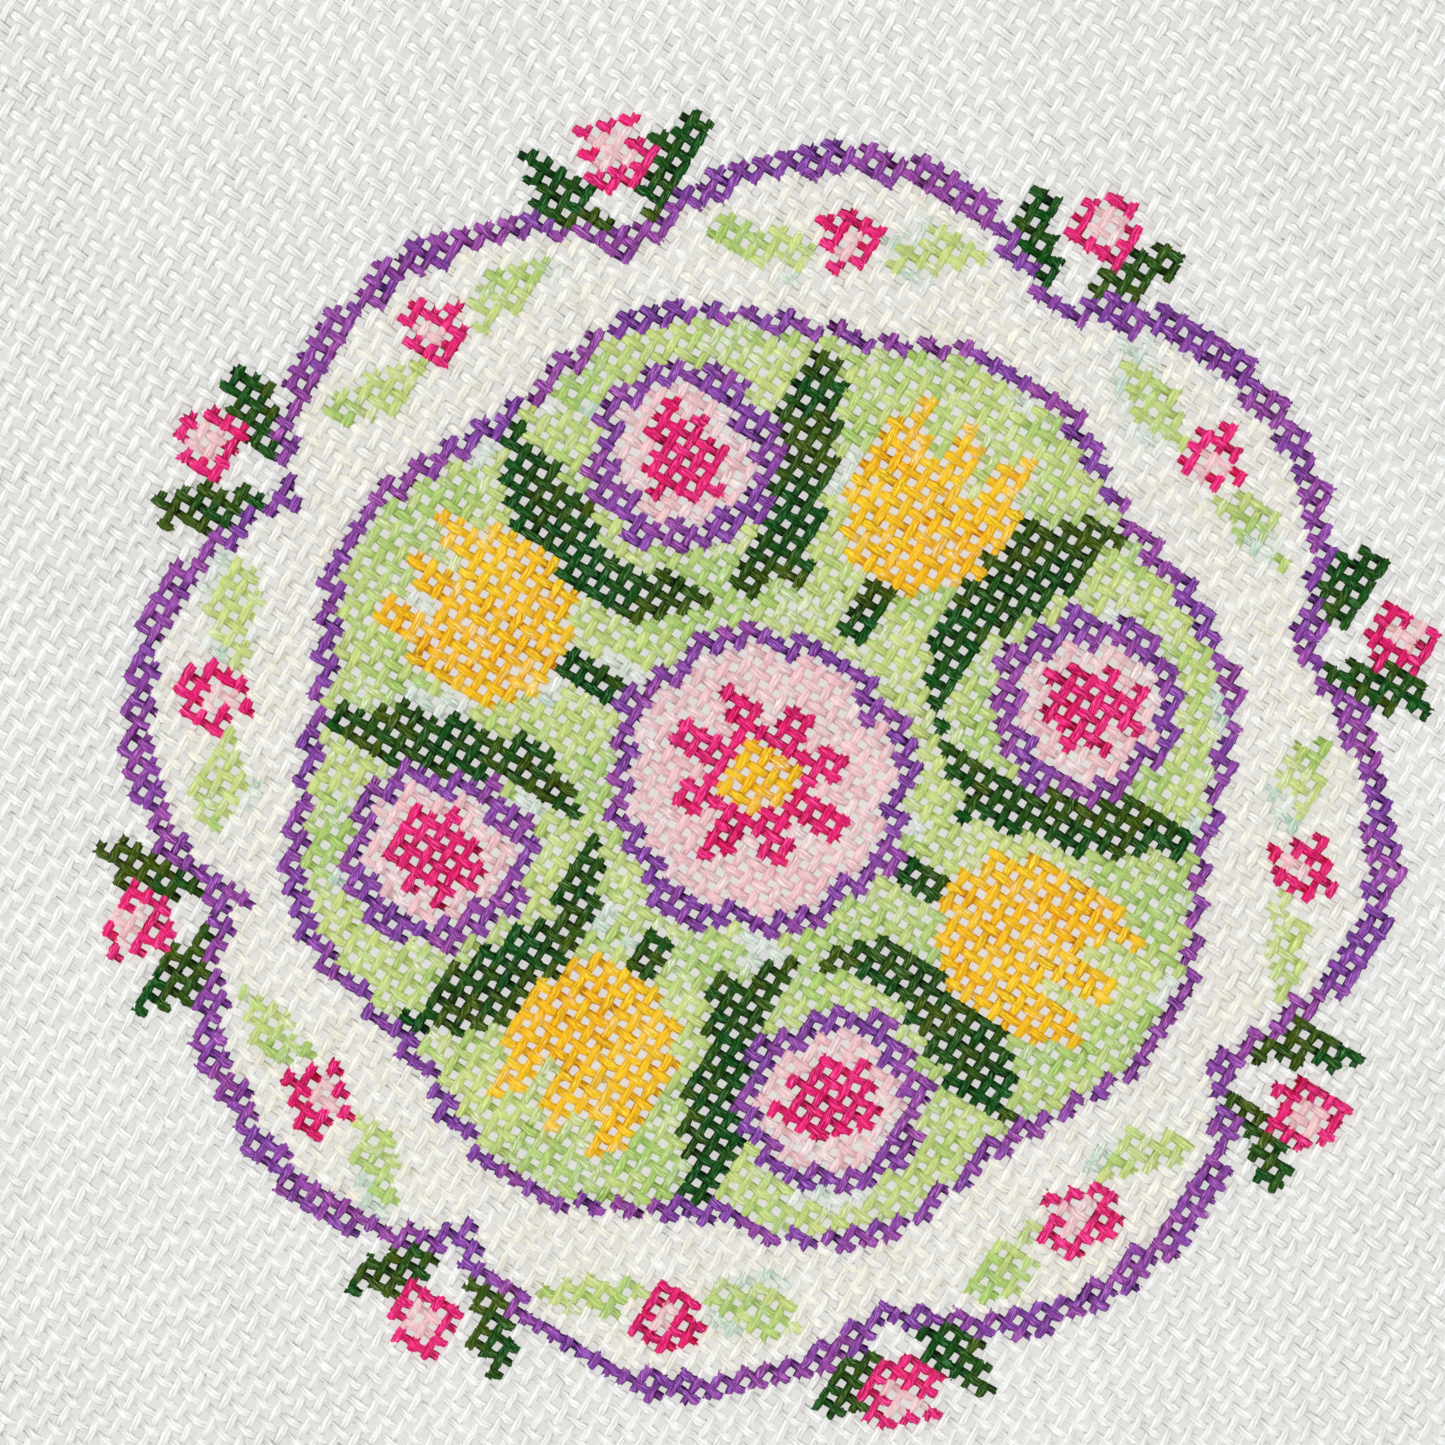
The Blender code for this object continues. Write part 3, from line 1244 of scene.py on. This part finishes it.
@dataclass(frozen=True)
class StrandGroup:
    """The shader group for a twisted thread: how high its surface is, how deep in a groove, and its fibres.

    Args:
        stray: How far the plies stray from an even twist, in plies.
        fibre_twist: How fast the fibres turn round the thread against the plies.
        fibre_spread: How fast the fibres change round the thread.
        fibre_scale: How fine the fibres are.
        fullness: The power that makes a ply's round back, below 1.
        ply_height: The share of the plies in the height.
        fibre_height: The share of the fibres in the height.
    """

    stray: float = 1.2
    fibre_twist: float = 2.2
    fibre_spread: float = 1.35
    fibre_scale: float = 2.8
    fullness: float = 0.55
    ply_height: float = 0.7
    fibre_height: float = 0.9

    def build(self) -> bpy.types.NodeTree:
        """Makes the group.

        Returns:
            The group, with the outputs Height, Groove and Fibre.
        """
        inputs = dict.fromkeys(("Along", "Around", "Thread", "Plies", "Turns"), "Float")
        outputs = dict.fromkeys(("Height", "Groove", "Fibre"), "Float")
        tree = new_group("twisted strands", "ShaderNodeTree", inputs, outputs)
        bench = NodeBench(tree)
        given = bench.given()
        along, around, thread = given["Along"], given["Around"], given["Thread"]
        drift = (bench.noise(bench.vector(along * 0.35, thread * 3.1, 0.0), 1.0, 0.0) - 0.5) * self.stray
        phase = around * given["Plies"] + along * given["Turns"] + drift
        ridge = bench.math("ABSOLUTE", bench.math("SINE", phase * math.pi))
        twisted = around * FULL_TURN + along * given["Turns"] * self.fibre_twist
        fibre_place = bench.vector(
            along * 0.8 + thread * 2.7,
            bench.math("SINE", twisted) * self.fibre_spread,
            bench.math("COSINE", twisted) * self.fibre_spread,
        )
        fibre = bench.noise(fibre_place, self.fibre_scale, 2.0, 0.6)
        round_back = bench.math("POWER", ridge, self.fullness)
        bench.give({
            "Height": round_back * self.ply_height + fibre * self.fibre_height,
            "Groove": 1.0 - bench.band(ridge, 0.02, 0.5),
            "Fibre": fibre,
        })
        return tree


@dataclass(frozen=True)
class BrushGroup:
    """The shader group for the brush: which paint is at a place, and how much of the thread it hides.

    Args:
        raggedness: How ragged the line between two paints is, in crossings.
        ragged_scale: How fine it is.
        patch_scale: How fine the patches of thinner paint are.
        missed: How much of the paint is missing on a fibre that the brush missed.
        below: How much of it reaches the thread's underside.
    """

    raggedness: float = 0.55
    ragged_scale: float = 1400.0
    patch_scale: float = 320.0
    missed: float = 0.8
    below: float = 0.25

    def build(self) -> bpy.types.NodeTree:
        """Makes the group.

        Returns:
            The group, with the outputs Colour, Cover and Thickness.
        """
        numbers = dict.fromkeys(("Along", "Fibre", "Upward", "Here cover", "After cover"), "Float")
        inputs = numbers | {"Place": "Vector", "Here": "Color", "After": "Color"}
        tree = new_group("brushed paint", "ShaderNodeTree", inputs,
                         {"Colour": "Color", "Cover": "Float", "Thickness": "Float"})
        bench = NodeBench(tree)
        given = bench.given()
        beyond = given["Along"] - bench.math("ROUND", given["Along"])
        unsteady = (bench.noise(given["Place"], self.ragged_scale, 1.0) - 0.5) * self.raggedness
        turned = bench.band(beyond + unsteady, -0.05, 0.05)
        full = given["Here cover"] * (1.0 - turned) + given["After cover"] * turned
        thin = 1.0 - full
        patchy = bench.noise(given["Place"], self.patch_scale, 1.0, 0.6)
        streak = given["Fibre"] * 0.75 + patchy * 0.35
        sparse = 0.76 - thin * 1.35
        missed = bench.band(streak, sparse, sparse + 0.14) * self.missed * bench.band(thin, 0.05, 0.14)
        wet = thin * 5.0 - 0.6
        reached = bench.band(given["Upward"] + (patchy - 0.5) * 1.4, wet - 0.35, wet + 0.35)
        painted = bench.math("GREATER_THAN", full, 0.02)
        bench.give({
            "Colour": bench.blend(turned, given["Here"], given["After"]),
            "Cover": painted * (1.0 - missed) * (reached * (1.0 - self.below) + self.below),
            "Thickness": bench.band(full, 0.88, 0.99),
        })
        return tree


@dataclass(frozen=True)
class CanvasFinish:
    """The finish of a set of threads: sized white cotton under brushed acrylic paint.

    Args:
        kind: The threads.
        middle: The middle height of the cloth.
        cotton: The cotton's colour.
        shaded_cotton: Its colour as painted shade in the grooves and low down, and in greyer places of its
            own.
        cotton_roughness: The roughness of the cotton.
        paint_roughness: The roughness of the paint.
        gloss: The strength of the reflection of both.
        strand_relief: The depth of the plies and fibres.
        relief_strength: How strongly it shows.
        glint: The white added as a painted highlight on the fibres of thick paint.
    """

    kind: ThreadKind
    middle: float = 0.75 * MILLIMETRE
    cotton: Colour = screen_colour(254, 254, 251)
    shaded_cotton: Colour = screen_colour(231, 231, 227)
    cotton_roughness: float = 0.82
    paint_roughness: float = 0.5
    gloss: float = 0.06
    strand_relief: float = 0.17 * MILLIMETRE
    relief_strength: float = 0.9
    glint: Colour = (0.3, 0.3, 0.3)

    def build(self, strands: bpy.types.NodeTree, brush: bpy.types.NodeTree) -> bpy.types.Material:
        """Makes the material.

        Args:
            strands: The group from StrandGroup.
            brush: The group from BrushGroup.

        Returns:
            The material.
        """
        material = bpy.data.materials.new(f"{self.kind.way.value} canvas thread")
        material.use_nodes = True
        bench = NodeBench(material.node_tree)
        surface = material.node_tree.nodes["Principled BSDF"].inputs
        place = bench.place("ShaderNodeTexCoord", None, "Object")
        along, upward = bench.attribute("along"), bench.attribute("upward")
        twist = bench.group(strands, {
            "Along": along,
            "Around": bench.attribute("around"),
            "Thread": bench.attribute("thread"),
            "Plies": float(self.kind.plies),
            "Turns": self.kind.turns,
        })
        paint = bench.group(brush, {
            "Along": along,
            "Fibre": twist["Fibre"],
            "Upward": upward,
            "Place": place,
            "Here": bench.attribute("paint_here", "Color"),
            "Here cover": bench.attribute("paint_here", "Alpha"),
            "After": bench.attribute("paint_after", "Color"),
            "After cover": bench.attribute("paint_after", "Alpha"),
        })
        height = bench.parts(place)[2]
        cotton = self._cotton(bench, twist, place, height)
        # The paint's colour with its painted shade and painted highlight.
        pooled_and_shaded = self._pooled_and_shaded(bench, paint, twist, place, height, upward)
        bench.feed(surface["Base Color"], bench.blend(paint["Cover"], cotton, pooled_and_shaded))
        smoother = paint["Cover"] * (self.paint_roughness - self.cotton_roughness)
        bench.feed(surface["Roughness"], smoother + self.cotton_roughness + (twist["Fibre"] - 0.5) * 0.2)
        surface["Specular IOR Level"].default_value = self.gloss
        relief = {"Strength": self.relief_strength, "Distance": self.strand_relief, "Height": twist["Height"]}
        bench.feed(surface["Normal"], bench.place("ShaderNodeBump", relief, "Normal"))
        return material

    def _cotton(self, bench: NodeBench, twist: dict[str, Signal], place: Signal, height: Signal) -> Signal:
        """White cotton with painted shade, greyer in its grooves and low down where shade falls, and greyer
        from place to place in its own tone.
        """
        cloud = bench.noise(place, 60.0, 1.0)
        # Painted shade: the cotton is greyed low down on the threads, where less light reaches.
        low_shade = 1.0 - bench.band(height, self.middle * 1.3, self.middle * 1.95)
        # Painted shade in the grooves and low down, with random greyer places of the cotton's own.
        shade = twist["Groove"] * 0.35 + cloud * 0.4 + low_shade * 0.25 - 0.12
        return bench.blend(bench.band(shade, 0.0, 1.0), self.cotton, self.shaded_cotton)

    def _pooled_and_shaded(
        self,
        bench: NodeBench,
        paint: dict[str, Signal],
        twist: dict[str, Signal],
        place: Signal,
        height: Signal,
        upward: Signal,
    ) -> Signal:
        """The paint's colour, with painted shade low down, on the flanks and in the grooves, which also
        stands for thicker paint collected there, and a painted highlight on raised fibres.

        Args:
            bench: The material's bench.
            paint: The outputs of the brush group.
            twist: The outputs of the strand group.
            place: The place on the cloth.
            height: The height above the table.
            upward: How far up its own thread the surface is.

        Returns:
            The colour.
        """
        thick, plain = paint["Thickness"], paint["Colour"]
        # Painted shade: the paint is darkened low down, on the thread's flanks and in its grooves, where
        # shade falls and thicker paint collects.
        low = 1.0 - bench.band(height, self.middle * 0.45, self.middle * 1.35)
        flank = 1.0 - bench.band(upward, -0.1, 0.95)
        shade_and_pooling = low * 0.6 + flank * 0.7 + twist["Groove"] * 0.55 - 0.12
        uneven_shade = bench.noise(place, 420.0, 1.0) - 0.5
        share = bench.band(shade_and_pooling + uneven_shade * 1.6, 0.0, 1.1) * bench.band(thick, 0.0, 0.35)
        fibre = bench.band(twist["Fibre"], 0.36, 0.68)
        streak = (fibre - 0.42) * (thick * 0.76 + 0.2) + 1.0
        colour = bench.blend(1.0, plain, bench.grey(streak), "MULTIPLY")
        # Painted highlight: raised fibres of thick paint are lightened as if they caught the light.
        painted_highlight = bench.blend(1.0, bench.blend(1.0, plain, (2.2, 2.2, 2.2), "MULTIPLY"), self.glint, "ADD")
        lit = bench.band(twist["Fibre"], 0.5, 0.72) * thick * 0.42
        colour = bench.blend(lit, colour, painted_highlight, "SCREEN")
        # The darker colour of the painted shade.
        deep = bench.blend(1.0, plain, plain, "MULTIPLY")
        deep = bench.blend(1.0, deep, bench.grey(1.0 - thick * 0.66), "MULTIPLY")
        return bench.blend(share, colour, deep)


@dataclass(frozen=True)
class CanvasPanel:
    """The whole panel: three bands of upright threads and three of level ones.

    Args:
        weave: The weave.
        design: The painted design.
        bands_each_way: How many bands the threads of one way are divided into.
    """

    weave: Weave = Weave()
    design: PaintedDesign = PaintedDesign()
    bands_each_way: int = 3

    def build(self) -> list[bpy.types.Object]:
        """Weaves and paints the panel, and puts it in its place in the frame.

        Returns:
            The pieces, one for each band.
        """
        tree = ThreadTree().build()
        strands, brush = StrandGroup().build(), BrushGroup().build()
        cells = self.design.cells(self.weave.count)
        pieces = []
        for kind in (self.weave.upright(), self.weave.level()):
            material = CanvasFinish(kind).build(strands, brush)
            for band in self._bands(kind):
                piece = band.build(tree, material, cells)
                self._place(piece, band)
                pieces.append(piece)
        return pieces

    def _bands(self, kind: ThreadKind) -> list[ThreadBand]:
        """Divides one set of threads into bands of as near as can be the same number."""
        bands = self.bands_each_way
        edges = [round(self.weave.count * number / bands) for number in range(bands + 1)]
        return [
            ThreadBand(f"{kind.way.value}_threads_{number}", kind, self.weave, first, after - first)
            for number, (first, after) in enumerate(zip(edges, edges[1:]), 1)
        ]

    def _place(self, piece: bpy.types.Object, band: ThreadBand) -> None:
        """Attaches the band to the frame's root body and hides the panel's solid."""
        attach(piece, ROOT_BODY)
        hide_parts(PANEL_NODE)
        band.threads * self.weave.pitch


@dataclass(frozen=True)
class Tabletop:
    """The pale surface that the canvas lies on. It glows as painted light, though it is no lamp, for the
    light that passes through the threads.

    Args:
        reach: Its side.
        drop: How far below the cloth it is.
        colour: Its colour.
        roughness: Its roughness.
        glow_colour: The colour of its glow, painted light which keeps the holes of the weave pale.
        glow: How much it glows where it is seen.
        glow_on_threads: How much it glows in the light that it gives, painted light that lights the threads
            from below.
    """

    reach: float = 40.0
    drop: float = 0.05 * MILLIMETRE
    colour: Colour = screen_colour(132, 131, 129)
    roughness: float = 0.7
    glow_colour: Colour = screen_colour(232, 231, 229)
    glow: float = 0.65
    glow_on_threads: float = 1.55

    def build(self) -> None:
        """Makes the surface."""
        half = self.reach / 2
        outline = ((-half, -half), (half, -half), (half, half), (-half, half))
        corners = [(x, y, -self.drop) for x, y in outline]
        mesh = bpy.data.meshes.new("tabletop")
        mesh.from_pydata(corners, [], [(0, 1, 2, 3)])
        mesh.materials.append(self._finish())
        top = bpy.data.objects.new("tabletop", mesh)
        bpy.context.scene.collection.objects.link(top)

    def _finish(self) -> bpy.types.Material:
        """Smooth and matt, and glowing as painted light though it is no lamp: fainter where it is seen than
        in the light that it gives.
        """
        material = bpy.data.materials.new("tabletop")
        material.use_nodes = True
        bench = NodeBench(material.node_tree)
        surface = material.node_tree.nodes["Principled BSDF"].inputs
        surface["Base Color"].default_value = (*self.colour, 1.0)
        surface["Roughness"].default_value = self.roughness
        surface["Emission Color"].default_value = (*self.glow_colour, 1.0)
        # Painted light: the tabletop glows though it is no lamp, for the light that passes through the
        # threads.
        seen = bench.place("ShaderNodeLightPath", None, "Is Camera Ray")
        glow = seen * (self.glow - self.glow_on_threads) + self.glow_on_threads
        bench.feed(surface["Emission Strength"], glow)
        return material


@dataclass(frozen=True)
class PhotoView:
    """The camera, nearly straight above the cloth.

    Args:
        picture_side: The side of the picture, in pixels.
        pitch_pixels: The weave's pitch in the picture.
        thread_lean: How far the threads lean from the picture's sides, in degrees.
        design_middle: Where the middle of the design is in the picture, from its top left.
        lens: The lens, in millimetres.
        sensor: The width of the sensor, in millimetres.
        tilt: How far the camera leans from straight above, in degrees.
        tilt_towards: Which way it leans, in degrees clockwise from the picture's top.
        clip: The nearest and farthest distance that it sees, in metres.
    """

    picture_side: int = 1445
    pitch_pixels: float = 16.57
    thread_lean: float = 31.75
    design_middle: tuple[float, float] = (760.0, 780.0)
    lens: float = 72.0
    sensor: float = 36.0
    tilt: float = 3.6
    tilt_towards: float = 13.7
    clip: tuple[float, float] = (0.01, 50.0)

    def right_and_up(self) -> tuple[Vector, Vector]:
        """The picture's right and up, as directions on the cloth."""
        lean = math.radians(self.thread_lean)
        right = Vector((math.cos(lean), math.sin(lean), 0.0))
        up = Vector((-math.sin(lean), math.cos(lean), 0.0))
        return right, up

    def build(self, pitch: float) -> None:
        """Makes the camera, which is also made the scene's own.

        Args:
            pitch: The weave's pitch in metres, which sets the camera's distance.
        """
        right, up = self.right_and_up()
        pixel = pitch / self.pitch_pixels
        middle = self.picture_side / 2
        left, down = self.design_middle
        target = right * (middle - left) * pixel + up * (down - middle) * pixel
        distance = self.lens / self.sensor * self.picture_side * pixel
        towards = math.radians(self.tilt_towards)
        side = right * math.sin(towards) + up * math.cos(towards)
        tilt = math.radians(self.tilt)
        out = (side * math.sin(tilt) + Vector((0, 0, 1)) * math.cos(tilt)).normalized()
        screen_right = up.cross(out).normalized()
        screen_up = out.cross(screen_right)
        data = bpy.data.cameras.new("camera")
        data.lens, data.sensor_width = self.lens, self.sensor
        data.clip_start, data.clip_end = self.clip
        camera = bpy.data.objects.new("camera", data)
        turn = Matrix((screen_right, screen_up, out)).transposed().to_4x4()
        camera.matrix_world = Matrix.Translation(target + out * distance) @ turn
        bpy.context.scene.collection.objects.link(camera)
        bpy.context.scene.camera = camera


@dataclass(frozen=True)
class StudioLight:
    """Soft light from the picture's upper left, and a bright even room.

    Args:
        distance: How far to the side the lamp hangs.
        height: How high it hangs.
        rise: How far up the picture it is, for each part to the left.
        size: Its side.
        power: Its power, in watts.
        colour: Its colour.
        room_colour: The room's colour.
        room_strength: The room's brightness.
    """

    distance: float = 1.25
    height: float = 0.74
    rise: float = 0.577
    size: float = 0.75
    power: float = 3.85
    colour: Colour = (1.0, 0.985, 0.96)
    room_colour: Colour = (0.98, 0.985, 0.99)
    room_strength: float = 1.01

    def build(self, view: PhotoView) -> None:
        """Hangs the lamp and lights the room.

        Args:
            view: The camera, whose upper left the lamp hangs towards.
        """
        right, up = view.right_and_up()
        place = (up * self.rise - right).normalized() * self.distance + Vector((0, 0, self.height))
        data = bpy.data.lights.new("window", "AREA")
        data.size, data.energy, data.color = self.size, self.power, self.colour
        lamp = bpy.data.objects.new("window", data)
        lamp.matrix_world = Matrix.Translation(place) @ place.to_track_quat("Z", "Y").to_matrix().to_4x4()
        bpy.context.scene.collection.objects.link(lamp)
        world = bpy.data.worlds.new("room")
        world.use_nodes = True
        backdrop = world.node_tree.nodes["Background"].inputs
        backdrop["Color"].default_value = (*self.room_colour, 1.0)
        backdrop["Strength"].default_value = self.room_strength
        bpy.context.scene.world = world
        bpy.context.scene.view_settings.view_transform = "Standard"


def main() -> None:
    """Loads the frame, builds the panel and its stage, and reports each piece."""
    logging.basicConfig(level=logging.INFO, format="%(message)s")
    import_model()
    view, weave = PhotoView(), Weave()
    view.build(weave.pitch)
    for piece in CanvasPanel(weave).build():
        LOG.info("%s: %d faces", piece.name, len(piece.data.polygons))
    Tabletop().build()
    StudioLight().build(view)


if __name__ == "__main__":
    main()
